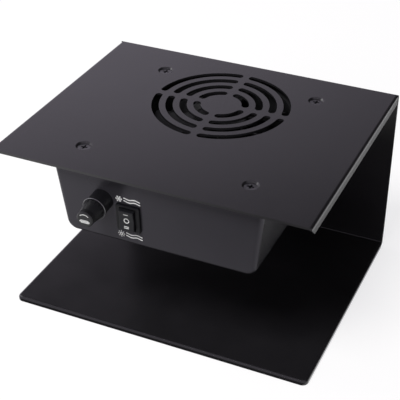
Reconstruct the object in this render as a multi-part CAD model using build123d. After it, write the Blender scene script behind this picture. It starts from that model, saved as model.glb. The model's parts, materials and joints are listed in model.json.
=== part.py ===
from build123d import *

import math
import os

# A nail dryer that blows cold or warm air: a stand folded from one steel sheet, with a fan
# and a heater in a drafted housing that hangs under the lid. Sizes are in millimetres.
# +Z is up and the feet stand on Z = 0. Pieces are made with X = 0 and Y = 0 at the middle
# of the base plate and are saved with Y = 0 at the middle of the whole object's depth.

# Folded stand
frame_width = 200.0
base_depth = 158.0
overall_height = 119.0
lid_overhang = 9.0
sheet = 1.5
bend_radius = 0.8
lip_depth = 6.2
lip_bend = 0.3
lip_setback = 0.3
relief_width = 0.5
base_corner = 4.0
base_lip_gap = 0.3

# Rubber feet under the base plate
foot_height = 2.0
foot_radius = 6.0
foot_inset = 14.0

# Air inlet in the lid
grille_offset_x = 1.5
slot_width = 4.7
ring_pitch = 8.8
ring_count = 4
spoke_width = 4.2

# Housing under the lid, sized at the lid and narrower below
panel_setback = 5.0
back_gap = 8.0
left_margin = 9.1
right_margin = 16.6
housing_depth = 46.9
side_draft = 6.3
front_draft = 3.5
housing_wall = 2.2
housing_bend = 7.0
housing_edge = 3.2

# Countersunk screws through the lid, in pressed dimples
screw_pitch_x = 106.0
front_screw_inset = 21.3
rear_screw_inset = 22.7
dimple_radius = 5.1
screw_hole_radius = 2.25
screw_head_radius = 4.0
screw_shank_radius = 2.0
screw_length = 16.0
screw_recess_width = 1.1
screw_recess_reach = 2.1
screw_recess_lift = 0.7
boss_radius = 4.5
pilot_depth = 20.0

# Axial fan
fan_size = 92.0
fan_depth = 25.0
fan_hole_inset = 4.75
fan_rim = 2.0
fan_flange = 4.0
fan_corner = 4.0
fan_wall_gap = 6.0
fan_top_gap = 3.6
fan_hole_radius = 2.2
fan_post_radius = 4.0
fan_screw_radius = 1.75
fan_screw_bite = 10.0
fan_screw_head_radius = 3.6
fan_screw_head = 2.4
strut_width = 4.0
motor_base = 2.5
bearing_tube_wall = 0.75
bearing_radius = 4.0
bearing_width = 4.0
bearing_spread = 9.0
bearing_ledge = 0.8
shaft_radius = 1.5
shaft_floor_gap = 0.6
shaft_boss_wall = 2.0
shaft_boss_depth = 3.0
clip_width = 1.1
clip_thickness = 0.6
clip_lift = 0.5
hub_radius = 17.0
hub_wall = 2.0
hub_height = 17.2
hub_edge = 1.2
hub_floor_gap = 2.3
magnet_thickness = 2.0
magnet_height = 10.0
magnet_lift = 0.4
stator_radius = 12.0
stator_height = 7.0
stator_lift = 2.0
pole_shoe = 1.6
pole_half_width = 1.5
pole_gap_half = 1.2
core_hub_wall = 2.2
coil_half_width = 3.4
coil_overhang = 1.2
coil_gap = 0.25
coil_corner = 1.0
board_thickness = 1.5
blade_count = 7
blade_thickness = 1.6
blade_root_lean = 42.0
blade_tip_lean = 26.0
blade_room = 3.0
blade_sink = 0.8
tip_gap = 1.2

# Air outlet and heater
outlet_slots = 7
outlet_pitch = 8.0
outlet_slot_width = 4.0
outlet_length = 68.0
heater_length = 72.0
heater_height = 11.0
heater_lift = 2.0
fin_row_width = 11.0
fin_thickness = 0.5
fin_pitch = 3.6
fin_rows = 3
heat_tube_width = 5.0
heater_end_width = 6.0
heater_end_overlap = 3.0
heater_end_wall = 1.5
heater_tab_length = 9.0
heater_tab_spread = 2.6
heater_lug_length = 7.5
heater_lug_width = 9.0
heater_lug_height = 3.0
heater_lug_spread = 24.0
heater_screw_radius = 1.4
heater_screw_bite = 1.7
heater_screw_head_radius = 2.8
heater_screw_head = 1.8
cutout_length = 16.0
cutout_width = 4.0
cutout_height = 7.0
cutout_corner = 1.0

# Three-position rocker switch on the front panel, placed from the housing's middle
switch_offset_x = -17.7
switch_drop = 26.8
bezel_width = 15.2
bezel_height = 18.0
bezel_thickness = 2.0
bezel_corner = 1.0
bezel_chamfer = 0.4
switch_body_width = 12.4
switch_body_height = 16.8
switch_body_depth = 15.0
rocker_width = 9.4
rocker_half_length = 6.6
rocker_end_gap = 1.0
rocker_pivot_depth = 3.0
rocker_end_rise = 4.2
rocker_middle_rise = 3.4
rocker_depth = 2.5
rocker_room = 4.2
rocker_edge = 0.4
trunnion_radius = 1.0
trunnion_length = 0.8
blade_width = 4.8
terminal_thickness = 0.8
terminal_length = 8.0
terminal_root = 3.0
terminal_spread = 6.25

# Panel fuse holder
fuse_offset_x = -34.25
fuse_drop = 18.1
collar_radius = 6.7
collar_length = 10.6
collar_rim = 0.7
collar_chamfer = 0.3
collar_rim_width = 1.0
cap_radius = 5.2
cap_length = 11.0
cap_chamfer = 0.6
cap_skirt_radius = 6.5
cap_skirt_length = 7.5
cap_groove_count = 16
cap_groove_radius = 0.6
cap_groove_depth = 0.45
barrel_radius = 5.9
barrel_depth = 26.0
barrel_end_wall = 2.0
stem_radius = 4.2
stem_depth = 4.0
fuse_radius = 2.6
fuse_length = 20.0
fuse_cap_length = 5.0
fuse_cap_wall = 0.25
fuse_glass_wall = 0.5
fuse_grip = 6.0
fuse_link_radius = 0.2
side_blade_depth = 16.1
nut_thickness = 3.0
nut_across = 17.0

# Cord gland in the left wall
gland_rear_of_panel = 38.0
gland_drop = 22.0
gland_bore_radius = 3.5
gland_thread_radius = 6.0
gland_root_radius = 6.6
gland_chamfer = 0.6
gland_flange_radius = 8.0
gland_flange = 3.0
gland_nose = 11.0
gland_nose_radius = 5.6
gland_inner = 8.0

# Supply board for the fan motor, beside the switch
supply_gap_x = 12.0
supply_length = 38.0
supply_width = 34.0
standoff_height = 5.0
standoff_radius = 3.0
board_hole_inset = 3.5
board_screw_radius = 1.25
board_screw_bite = 4.0
board_screw_head_radius = 2.3
board_screw_head = 1.6
transformer_length = 18.0
transformer_width = 16.0
transformer_height = 15.0
transformer_inset = 1.0
transformer_corner = 1.0
capacitor_radius = 5.0
capacitor_height = 16.0
capacitor_inset = 2.0
capacitor_gap = 1.2
capacitor_edge = 0.8

# Clearances
running = 0.05
sliding = 0.1
loose = 0.3
push_fit = 0.05

# How far a cutting shape runs past the face it opens
past = 1.0

# Places that follow from the sizes above
back = base_depth / 2
front = -back
lid_front = front - lid_overhang
wall_inner = back - sheet
base_top = foot_height + sheet
lid_bottom = overall_height - sheet
lip_bottom = overall_height - lip_depth
lip_end = back - sheet - bend_radius - lip_setback
side_slope = math.tan(math.radians(side_draft))
front_slope = math.tan(math.radians(front_draft))

housing_front = lid_front + panel_setback
housing_back = back - back_gap
grille_x = grille_offset_x
housing_left = grille_x - screw_pitch_x / 2 - left_margin
housing_right = grille_x + screw_pitch_x / 2 + right_margin
housing_x = (housing_left + housing_right) / 2
housing_y = (housing_front + housing_back) / 2
housing_width = housing_right - housing_left
housing_length = housing_back - housing_front
housing_bottom = lid_bottom - housing_depth
floor_top = housing_bottom + housing_wall

fan_bore_radius = fan_size / 2 - fan_rim
fan_hole_pitch = fan_size - 2 * fan_hole_inset
grille_radius = fan_bore_radius
grille_y = housing_back - fan_wall_gap - fan_size / 2
fan_front = grille_y - fan_size / 2
fan_top = lid_bottom - fan_top_gap
fan_bottom = fan_top - fan_depth
fan_holes = [(grille_x + i * fan_hole_pitch / 2, grille_y + j * fan_hole_pitch / 2)
             for i in (-1, 1) for j in (-1, 1)]
screw_holes = [(grille_x + i * screw_pitch_x / 2, y) for i in (-1, 1)
               for y in (housing_front + front_screw_inset, housing_back - rear_screw_inset)]
dimple_depth = dimple_radius - screw_hole_radius
screw_top = overall_height - (dimple_radius - screw_head_radius) + running
foot_places = [(i * (frame_width / 2 - foot_inset), j * (base_depth / 2 - foot_inset))
               for i in (-1, 1) for j in (-1, 1)]

bearing_bore = shaft_radius + running
tube_bore = bearing_radius + push_fit
tube_radius = tube_bore + bearing_tube_wall
magnet_radius = hub_radius - hub_wall - push_fit
hub_top = fan_bottom + motor_base + hub_floor_gap + hub_height
hub_bottom = hub_top - hub_height
shaft_bottom = fan_bottom + shaft_floor_gap
bearing_low = fan_bottom + motor_base
heater_bottom = floor_top + heater_lift
heater_depth = fin_rows * fin_row_width + (fin_rows - 1) * heat_tube_width
heater_front = grille_y - heater_depth / 2
heater_top = heater_bottom + heater_height
heater_end_inner = heater_length / 2 - heater_end_overlap
heater_end_outer = heater_end_inner + heater_end_width
heater_holes = [(grille_x + i * (heater_end_outer + heater_lug_length / 2),
                 grille_y + j * heater_lug_spread / 2) for i in (-1, 1) for j in (-1, 1)]
tube_centres = [heater_front + fin_row_width + heat_tube_width / 2 + n * (fin_row_width + heat_tube_width)
                for n in range(fin_rows - 1)]
pivot = -rocker_pivot_depth
collar_end = collar_length + sliding
fuse_outer = -stem_depth + fuse_grip
fuse_inner = fuse_outer - fuse_length
supply_left = housing_x + switch_offset_x + switch_body_width / 2 + supply_gap_x
panel_foot = housing_front + front_slope * housing_depth + housing_wall
supply_front = (panel_foot + fan_front - supply_width) / 2
board_bottom = floor_top + standoff_height
board_top = board_bottom + board_thickness
board_holes = [(supply_left + x, supply_front + y)
               for x in (board_hole_inset, supply_length - board_hole_inset)
               for y in (board_hole_inset, supply_width - board_hole_inset)]


def box(x0, x1, y0, y1, z0, z1):
    middle = Pos((x0 + x1) / 2, (y0 + y1) / 2, (z0 + z1) / 2)
    return middle * Box(x1 - x0, y1 - y0, z1 - z0)


def rod(radius, low, high, x=0.0, y=0.0):
    return Pos(x, y, (low + high) / 2) * Cylinder(radius, high - low)


def cone(low_radius, high_radius, low, high, x=0.0, y=0.0):
    return Pos(x, y, (low + high) / 2) * Cone(low_radius, high_radius, high - low)


def join(shapes):
    whole = shapes[0]
    for shape in shapes[1:]:
        whole = whole + shape
    return whole


def hexagon(across, low, high):
    return Pos(0, 0, low) * extrude(RegularPolygon(across / 2, 6, major_radius=False), high - low)


def front_panel(x, drop):
    """Where local +Z leaves the housing's front face, drop below the lid and x across."""
    y = housing_front + front_slope * drop
    angle = math.radians(front_draft)
    normal = (0, -math.cos(angle), -math.sin(angle))
    return Plane(origin=(x, y, lid_bottom - drop), x_dir=(1, 0, 0), z_dir=normal).location


def left_wall(y, drop):
    """Where local +Z leaves the housing's left face, drop below the lid."""
    x = housing_left + side_slope * drop
    angle = math.radians(side_draft)
    normal = (-math.cos(angle), 0, -math.sin(angle))
    return Plane(origin=(x, y, lid_bottom - drop), x_dir=(0, -1, 0), z_dir=normal).location


switch_place = front_panel(housing_x + switch_offset_x, switch_drop)
fuse_place = front_panel(housing_x + fuse_offset_x, fuse_drop)
gland_place = left_wall(housing_front + gland_rear_of_panel, gland_drop)


def grille_slots():
    slots = []
    for ring in range(ring_count):
        radius = grille_radius - slot_width / 2 - ring * ring_pitch
        half_span = 45 - math.degrees((spoke_width + slot_width) / 2 / radius)
        for quarter in range(4):
            arc = CenterArc((0, 0), radius, 90 * quarter + 45 - half_span, 2 * half_span)
            slots.append(extrude(SlotArc(arc, slot_width), sheet * 3))
    return Pos(grille_x, grille_y, lid_bottom - sheet) * Compound(children=slots)


def dimple_cones(top, gap=0.0):
    """The conical pressing at each lid screw, with its wide end at a height."""
    return [cone(screw_hole_radius + gap, dimple_radius + gap, top - dimple_depth, top, x, y)
            for x, y in screw_holes]


def bent_section():
    outline = [
        (front, foot_height), (back, foot_height), (back, overall_height),
        (lid_front, overall_height), (lid_front, lid_bottom), (wall_inner, lid_bottom),
        (wall_inner, base_top), (front, base_top),
    ]
    section = make_face(Polyline(*outline, close=True))
    section = fillet([v for v in section.vertices() if v.X == max(p.X for p in section.vertices())],
                     bend_radius + sheet)
    inner = [v for v in section.vertices() if abs(v.X - wall_inner) < sheet / 4
             and min(abs(v.Y - lid_bottom), abs(v.Y - base_top)) < sheet / 4]
    return fillet(inner, bend_radius)


def side_lip(side):
    edge = frame_width / 2
    across = sorted((side * (edge - sheet), side * edge))
    lip = box(*across, lid_front, lip_end, lip_bottom, overall_height)
    mitre = lip_depth - sheet - lip_bend
    corner = [(lid_front - sheet, lip_bottom - sheet), (lid_front + mitre + sheet, lip_bottom - sheet),
              (lid_front - sheet, lip_bottom + mitre + sheet)]
    wedge = extrude(Plane.YZ * make_face(Polyline(*corner, close=True)), edge + sheet, both=True)
    return lip - wedge


def base_outline(inset):
    """The base plate's outline drawn in by inset, with its two round front corners."""
    edge = frame_width / 2 - inset
    near = front + inset
    outline = make_face(Polyline((-edge, near), (edge, near), (edge, lip_end), (-edge, lip_end), close=True))
    return fillet(outline.vertices().group_by(Axis.Y)[0], base_corner - inset)


def base_lip():
    """The rim turned down round the front and both sides of the base plate."""
    height = base_top - base_lip_gap
    rim = Pos(0, 0, base_lip_gap) * (extrude(base_outline(0), height) - extrude(base_outline(sheet), height))
    rim -= box(-frame_width, frame_width, front - past, lip_end + past, base_top - sheet, base_top + past)
    return rim


def frame_shell():
    shell = extrude(Plane.YZ * bent_section(), frame_width / 2, both=True)
    edge = frame_width / 2
    for side in (-1, 1):
        notch = sorted((side * (edge - sheet - lip_bend), side * (edge + sheet)))
        shell -= box(*notch, lip_end, lip_end + relief_width, lid_bottom - sheet, overall_height + sheet)
        shell += side_lip(side)
    outer = [e for e in shell.edges() if abs(abs(e.center().X) - edge) < 0.01
             and abs(e.center().Z - overall_height) < 0.01 and e.center().Y < lip_end - relief_width]
    shell = fillet(outer, lip_bend + sheet)
    inner = [e for e in shell.edges() if abs(abs(e.center().X) - edge + sheet) < 0.01
             and abs(e.center().Z - lid_bottom) < 0.01]
    shell = fillet(inner, lip_bend)
    corners = [e for e in shell.edges() if abs(abs(e.center().X) - edge) < 0.01
               and abs(e.center().Y - front) < 0.01 and abs(e.length - sheet) < 0.01]
    shell = fillet(corners, base_corner)
    shell -= [box(*sorted((side * (edge - sheet - lip_bend), side * (edge + past))), lip_end,
                  lip_end + relief_width, foot_height - past, base_top + past) for side in (-1, 1)]
    shell += base_lip()
    rim = [e for e in shell.edges() if abs(e.center().Z - base_top) < 0.01
           and e.center().Y < lip_end - relief_width]
    shell = fillet(rim, lip_bend + sheet)
    hollow = [e for e in shell.edges() if abs(e.center().Z - foot_height) < 0.01
              and e.center().Y < lip_end and e.length > lip_bend + 2 * sheet]
    shell = fillet(hollow, lip_bend)
    shell -= grille_slots()
    shell += dimple_cones(lid_bottom)
    shell -= dimple_cones(overall_height)
    holes = [rod(screw_hole_radius, lid_bottom - 4 * sheet, lid_bottom, x, y) for x, y in screw_holes]
    return shell - holes


def rubber_feet():
    foot = rod(foot_radius, 0, foot_height)
    foot = chamfer(foot.edges().group_by(Axis.Z)[0], foot_height / 4)
    return [Pos(x, y, 0) * foot for x, y in foot_places]


def drafted_block(inset):
    """The housing's form drawn in by inset: leaning sides, round lower bends and soft ends."""
    depth = housing_depth - inset
    left, right = housing_left + inset, housing_right - inset
    near, far = housing_front + inset, housing_back - inset
    low, high = lid_bottom - depth, lid_bottom
    side_run, front_run = side_slope * depth, front_slope * depth
    across = make_face(Polyline((left, high), (left + side_run, low), (right - side_run, low),
                                (right, high), close=True))
    across = fillet(across.vertices().group_by(Axis.Y)[0], housing_bend - inset)
    along = make_face(Polyline((near, high), (near + front_run, low), (far - front_run, low),
                               (far, high), close=True))
    reach = housing_length + housing_width
    block = extrude(Plane.XZ * across, reach, both=True) & extrude(Plane.YZ * along, reach, both=True)
    ends = [face for face in block.faces() if abs(face.normal_at().Y) > 0.9]
    edges = [edge for face in ends for edge in face.edges() if edge.center().Z < high - 0.01]
    return fillet(edges, max(housing_edge - inset, 0.4))


def housing():
    outside = drafted_block(0)
    inside = drafted_block(housing_wall)
    tray = outside - inside
    columns = [rod(boss_radius, housing_bottom, lid_bottom, x, y) for x, y in screw_holes]
    columns += [rod(fan_post_radius, housing_bottom, fan_bottom, x, y) for x, y in fan_holes]
    columns += [rod(standoff_radius, housing_bottom, floor_top + standoff_height, x, y)
                for x, y in board_holes]
    for column in columns:
        tray += column & outside
    tray -= dimple_cones(lid_bottom, running)
    tray -= [rod(screw_shank_radius + running, lid_bottom - pilot_depth, lid_bottom, x, y)
             for x, y in screw_holes]
    tray -= [rod(fan_screw_radius + running, fan_bottom - fan_screw_bite - loose, fan_bottom, x, y)
             for x, y in fan_holes]
    tray -= [rod(board_screw_radius + running, floor_top, floor_top + standoff_height, x, y)
             for x, y in board_holes]
    tray -= [rod(heater_screw_radius + running, floor_top - heater_screw_bite - running, floor_top, x, y)
             for x, y in heater_holes]
    tray -= outlet_openings()
    tray -= switch_place * Box(switch_body_width + 2 * sliding, switch_body_height + 2 * sliding,
                               4 * housing_wall)
    tray -= fuse_place * Cylinder(barrel_radius + sliding, 4 * housing_wall)
    tray -= gland_place * Cylinder(gland_thread_radius + sliding, 4 * housing_wall)
    return tray


def outlet_openings():
    first = grille_y - (outlet_slots - 1) * outlet_pitch / 2
    slot = extrude(SlotOverall(outlet_length, outlet_slot_width), 3 * housing_wall)
    return [Pos(grille_x, first + n * outlet_pitch, housing_bottom - housing_wall) * slot
            for n in range(outlet_slots)]


def cross_recess(width, reach, top):
    slot = Pos(0, 0, top) * Box(width, 2 * reach, 2 * reach)
    return slot + Rot(0, 0, 90) * slot


def housing_screws():
    head_height = screw_head_radius - screw_shank_radius
    screw = rod(screw_shank_radius, screw_top - screw_length, screw_top - head_height)
    screw += cone(screw_shank_radius, screw_head_radius, screw_top - head_height, screw_top)
    screw -= cross_recess(screw_recess_width, screw_recess_reach, screw_top + screw_recess_lift)
    return [Pos(x, y, 0) * screw for x, y in screw_holes]


def pan_screws(places, seat, shank, bite, head_radius, head):
    """Pan-head screws that stand on a seat height and reach bite below it."""
    screw = rod(shank, seat - bite, seat) + rod(head_radius, seat, seat + head)
    screw = fillet(screw.edges().group_by(Axis.Z)[-1], head * 0.4)
    screw -= cross_recess(head_radius * 0.28, head_radius * 0.6, seat + head)
    return [Pos(x, y, 0) * screw for x, y in places]


def fan_frame():
    plate = extrude(RectangleRounded(fan_size, fan_size, fan_corner), fan_flange)
    body = Pos(0, 0, fan_bottom) * plate + Pos(0, 0, fan_top - fan_flange) * plate
    body += rod(fan_size / 2, fan_bottom, fan_top)
    body -= rod(fan_bore_radius, fan_bottom - past, fan_top + past)
    reach = fan_bore_radius + past
    strut = box(-reach, reach, -strut_width / 2, strut_width / 2, fan_bottom, fan_bottom + motor_base)
    body += Rot(0, 0, 45) * strut + Rot(0, 0, -45) * strut
    body += rod(hub_radius, fan_bottom, fan_bottom + motor_base)
    tube_top = bearing_low + bearing_spread + bearing_width
    body += rod(tube_radius, fan_bottom, tube_top)
    body -= rod(bearing_radius - bearing_ledge, fan_bottom - past, tube_top + past)
    body -= rod(tube_bore, bearing_low, tube_top + past)
    body = Pos(grille_x, grille_y, 0) * body
    return body - [rod(fan_hole_radius, fan_bottom - past, fan_top + past, x, y) for x, y in fan_holes]


def fan_bearings():
    rings = []
    for low in (bearing_low, bearing_low + bearing_spread):
        ring = rod(bearing_radius, low, low + bearing_width)
        ring -= rod(bearing_bore, low - past, low + bearing_width + past)
        rings.append(Pos(grille_x, grille_y, 0) * ring)
    return rings


def motor_board():
    low = fan_bottom + motor_base
    board = rod(stator_radius, low, low + board_thickness)
    board -= rod(tube_radius + push_fit, low - past, low + board_thickness + past)
    return Pos(grille_x, grille_y, 0) * board


def stator_parts():
    """The laminated core with four poles, and the winding on each pole."""
    low = fan_bottom + motor_base + board_thickness + stator_lift
    high = low + stator_height
    shoe = stator_radius - pole_shoe
    hub = tube_radius + core_hub_wall
    core = rod(stator_radius, low, high) - rod(shoe, low - past, high + past)
    for turn in (45, 135):
        core -= Rot(0, 0, turn) * box(-stator_radius, stator_radius, -pole_gap_half, pole_gap_half,
                                      low - past, high + past)
    for turn in (0, 90):
        core += Rot(0, 0, turn) * box(-shoe - pole_shoe / 2, shoe + pole_shoe / 2,
                                      -pole_half_width, pole_half_width, low, high)
    core += rod(hub, low, high)
    core -= rod(tube_radius + push_fit, low - past, high + past)
    coils = []
    coil_end = math.sqrt(shoe ** 2 - coil_half_width ** 2) - coil_gap
    for turn in range(4):
        coil = box(hub + coil_gap, coil_end, -coil_half_width, coil_half_width,
                   low - coil_overhang, high + coil_overhang)
        coil = fillet(coil.edges().filter_by(Axis.X), coil_corner)
        coil -= box(0, stator_radius, -pole_half_width, pole_half_width, low, high)
        coils.append(Pos(grille_x, grille_y, 0) * Rot(0, 0, 90 * turn) * coil)
    return [Pos(grille_x, grille_y, 0) * core], coils


def fan_blade():
    root = Plane(origin=(hub_radius - blade_sink, 0, 0), x_dir=(0, 1, 0), z_dir=(1, 0, 0))
    tip = Plane(origin=(fan_bore_radius, 0, 0), x_dir=(0, 1, 0), z_dir=(1, 0, 0))
    height = hub_height - blade_room
    sections = []
    for plane, lean in ((root, blade_root_lean), (tip, blade_tip_lean)):
        chord = (height - blade_thickness) / math.sin(math.radians(lean))
        outline = RectangleRounded(chord, blade_thickness, blade_thickness * 0.45)
        sections.append(plane * Rot(0, 0, -lean) * outline)
    return loft(sections)


def fan_rotor():
    reach = fan_bore_radius - tip_gap
    cup = rod(hub_radius, hub_bottom, hub_top)
    cup = fillet(cup.edges().group_by(Axis.Z)[-1], hub_edge)
    sweep_room = rod(reach, hub_bottom, hub_top)
    middle = Pos(0, 0, (hub_bottom + hub_top) / 2)
    for number in range(blade_count):
        blade = Rot(0, 0, 360 * number / blade_count) * middle * fan_blade()
        cup += blade & sweep_room
    cup -= rod(hub_radius - hub_wall, hub_bottom - past, hub_top - hub_wall)
    cup += rod(shaft_radius + shaft_boss_wall, hub_top - hub_wall - shaft_boss_depth, hub_top - hub_wall)
    cup -= rod(shaft_radius + push_fit, hub_bottom - past, hub_top - hub_wall / 2)
    return Pos(grille_x, grille_y, 0) * cup


def rotor_magnet():
    low = hub_bottom + magnet_lift
    high = low + magnet_height
    ring = rod(magnet_radius, low, high) - rod(magnet_radius - magnet_thickness, low - past, high + past)
    return Pos(grille_x, grille_y, 0) * ring


def rotor_shaft():
    return rod(shaft_radius, shaft_bottom, hub_top - hub_wall / 2 - push_fit, grille_x, grille_y)


def shaft_clip():
    low = shaft_bottom + clip_lift
    high = low + clip_thickness
    ring = rod(shaft_radius + clip_width, low, high) - rod(shaft_radius + push_fit, low - past, high + past)
    return Pos(grille_x, grille_y, 0) * ring


def heat_tubes():
    return [box(grille_x - heater_length / 2, grille_x + heater_length / 2, y - heat_tube_width / 2,
                y + heat_tube_width / 2, heater_bottom, heater_top) for y in tube_centres]


def heater_fins():
    """Rows of thin fins between two strips, against both sides of each heat tube."""
    rows = []
    low_x = grille_x - heater_end_inner + loose
    high_x = grille_x + heater_end_inner - loose
    count = int((high_x - low_x - fin_thickness) / fin_pitch)
    first = grille_x - count * fin_pitch / 2
    for row in range(fin_rows):
        y0 = heater_front + row * (fin_row_width + heat_tube_width)
        y1 = y0 + fin_row_width
        strips = [box(low_x, high_x, y0, y0 + fin_thickness, heater_bottom, heater_top),
                  box(low_x, high_x, y1 - fin_thickness, y1, heater_bottom, heater_top)]
        fins = [box(first + n * fin_pitch - fin_thickness / 2, first + n * fin_pitch + fin_thickness / 2,
                    y0, y1, heater_bottom, heater_top) for n in range(count + 1)]
        rows.append(join(strips + fins))
    return rows


def heater_ends():
    ends = []
    half = heater_depth / 2 + heater_end_wall
    for side in (-1, 1):
        x0, x1 = sorted((grille_x + side * heater_end_inner, grille_x + side * heater_end_outer))
        end = box(x0, x1, grille_y - half, grille_y + half, floor_top, heater_top + heater_end_wall)
        x2, x3 = sorted((grille_x + side * heater_end_outer,
                         grille_x + side * (heater_end_outer + heater_lug_length)))
        for x, y in heater_holes:
            if (x - grille_x) * side > 0:
                lug = box(x2, x3, y - heater_lug_width / 2, y + heater_lug_width / 2, floor_top,
                          floor_top + heater_lug_height)
                end += lug
                end -= rod(heater_screw_radius + sliding, floor_top - past,
                           floor_top + heater_lug_height + past, x, y)
        end -= heat_tubes()
        if side < 0:
            end -= heater_terminals()
        ends.append(end)
    return ends


def heater_terminals():
    tabs = []
    x1 = grille_x - heater_length / 2
    x0 = x1 - heater_end_overlap - heater_tab_length
    middle = (heater_bottom + heater_top) / 2
    for y in tube_centres:
        for side in (-1, 1):
            centre = y + side * heater_tab_spread / 2
            tab = box(x0, x1, centre - terminal_thickness / 2, centre + terminal_thickness / 2,
                      middle - blade_width / 2, middle + blade_width / 2)
            tabs.append(tab)
    return tabs


def thermal_cutout():
    middle = (heater_bottom + heater_top) / 2
    body = box(grille_x - cutout_length / 2, grille_x + cutout_length / 2, heater_front - cutout_width,
               heater_front, middle - cutout_height / 2, middle + cutout_height / 2)
    return fillet(body.edges().filter_by(Axis.Y), cutout_corner)


def switch_body():
    bezel = extrude(RectangleRounded(bezel_width, bezel_height, bezel_corner), bezel_thickness)
    bezel = chamfer(bezel.edges().group_by(Axis.Z)[-1], bezel_chamfer)
    body = bezel + box(-switch_body_width / 2, switch_body_width / 2, -switch_body_height / 2,
                       switch_body_height / 2, -switch_body_depth, 0)
    reach = rocker_half_length + rocker_end_gap
    body -= box(-rocker_width / 2 - loose, rocker_width / 2 + loose, -reach, reach,
                pivot - rocker_room, bezel_thickness + past)
    pin_hole = Cylinder(trunnion_radius + running, rocker_width + 2 * (trunnion_length + sliding))
    body -= Pos(0, 0, pivot) * Rot(0, 90, 0) * pin_hole
    return switch_place * (body - switch_blades())


def switch_blades():
    low = -switch_body_depth - terminal_length
    high = -switch_body_depth + terminal_root
    return [box(-blade_width / 2, blade_width / 2, y - terminal_thickness / 2, y + terminal_thickness / 2,
                low, high) for y in (-terminal_spread, 0, terminal_spread)]


def switch_terminals():
    return [switch_place * blade for blade in switch_blades()]


def rocker():
    """The paddle with its hollow face and two pins, level in its middle position."""
    end = rocker_half_length
    low = pivot - rocker_depth
    outline = Polyline((-end, rocker_end_rise), (0, rocker_middle_rise), (end, rocker_end_rise),
                       (end, low), (-end, low), close=True)
    paddle = extrude(Plane.YZ * make_face(outline), rocker_width / 2, both=True)
    rim = [e for e in paddle.edges() if e.center().Z > rocker_middle_rise + rocker_edge / 2
           and (abs(e.center().Y) > rocker_edge or abs(e.center().X) > rocker_edge)]
    paddle = fillet(rim, rocker_edge)
    pins = Pos(0, 0, pivot) * Rot(0, 90, 0) * Cylinder(trunnion_radius, rocker_width + 2 * trunnion_length)
    return switch_place * (paddle + pins)


def fuse_body():
    body = rod(collar_radius, 0, collar_length) + rod(barrel_radius, -barrel_depth, 0)
    body += rod(collar_radius + collar_rim, collar_length - collar_rim_width, collar_length)
    body = chamfer(body.edges().group_by(Axis.Z)[-1], collar_chamfer)
    body -= rod(stem_radius + sliding, barrel_end_wall - barrel_depth, collar_length + past)
    return fuse_place * (body - fuse_blades())


def fuse_blades():
    """The rear contact with its blade through the end wall, and the side blade."""
    floor = barrel_end_wall - barrel_depth
    contact = rod(fuse_radius, floor, fuse_inner)
    contact += box(-blade_width / 2, blade_width / 2, -terminal_thickness / 2, terminal_thickness / 2,
                   -barrel_depth - terminal_length, floor + terminal_thickness)
    low = -side_blade_depth
    side = box(-blade_width / 2, blade_width / 2, -barrel_radius - terminal_length, -stem_radius - sliding,
               low, low + terminal_thickness)
    return [contact, side]


def fuse_terminals():
    return [fuse_place * blade for blade in fuse_blades()]


def fuse_nut():
    low = -housing_wall - nut_thickness
    nut = hexagon(nut_across, low, -housing_wall)
    return fuse_place * (nut - rod(barrel_radius + running, low - past, 0))


def fuse_cap():
    head = rod(cap_radius, collar_end, collar_end + cap_length)
    head = chamfer(head.edges().group_by(Axis.Z)[-1], cap_chamfer)
    head += cone(cap_skirt_radius, cap_radius, collar_end, collar_end + cap_skirt_length)
    groove_place = cap_skirt_radius + cap_groove_radius - cap_groove_depth
    for number in range(cap_groove_count):
        turn = Rot(0, 0, 360 * number / cap_groove_count)
        head -= turn * rod(cap_groove_radius, collar_end - past, collar_end + cap_length, groove_place)
    cap = head + rod(stem_radius, -stem_depth, collar_end)
    return fuse_place * (cap - rod(fuse_radius + running, -stem_depth - past, fuse_outer + running))


def fuse_glass():
    inset = fuse_cap_wall + running
    glass = rod(fuse_radius - fuse_cap_wall - running, fuse_inner + inset, fuse_outer - inset)
    bore = fuse_radius - fuse_cap_wall - running - fuse_glass_wall
    return fuse_place * (glass - rod(bore, fuse_inner - past, fuse_outer + past))


def fuse_ends():
    caps = []
    for low, wall_side in ((fuse_inner, 1), (fuse_outer - fuse_cap_length, -1)):
        cup = rod(fuse_radius, low, low + fuse_cap_length)
        cup -= rod(fuse_radius - fuse_cap_wall, low + wall_side * fuse_cap_wall,
                   low + fuse_cap_length + wall_side * fuse_cap_wall)
        caps.append(fuse_place * cup)
    return caps


def fuse_link():
    return fuse_place * rod(fuse_link_radius, fuse_inner + fuse_cap_wall, fuse_outer - fuse_cap_wall)


def cord_gland():
    body = rod(gland_flange_radius, 0, gland_flange) + rod(gland_thread_radius, -gland_inner, 0)
    nose_end = gland_flange + gland_nose
    body += cone(gland_root_radius, gland_nose_radius, gland_flange, nose_end)
    body = chamfer(body.edges().group_by(Axis.Z)[-1], gland_chamfer)
    return gland_place * (body - rod(gland_bore_radius, -gland_inner - past, nose_end + past))


def gland_nut():
    low = -housing_wall - nut_thickness
    nut = hexagon(nut_across, low, -housing_wall)
    return gland_place * (nut - rod(gland_thread_radius + running, low - past, 0))


def supply_board():
    board = box(supply_left, supply_left + supply_length, supply_front, supply_front + supply_width,
                board_bottom, board_top)
    return board - [rod(board_screw_radius + sliding, board_bottom - past, board_top + past, x, y)
                    for x, y in board_holes]


def transformer():
    x0 = supply_left + supply_length / 2 - transformer_length / 2
    y0 = supply_front + supply_width - transformer_width - transformer_inset
    core = box(x0, x0 + transformer_length, y0, y0 + transformer_width, board_top,
               board_top + transformer_height)
    return fillet(core.edges().filter_by(Axis.Z), transformer_corner)


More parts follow.
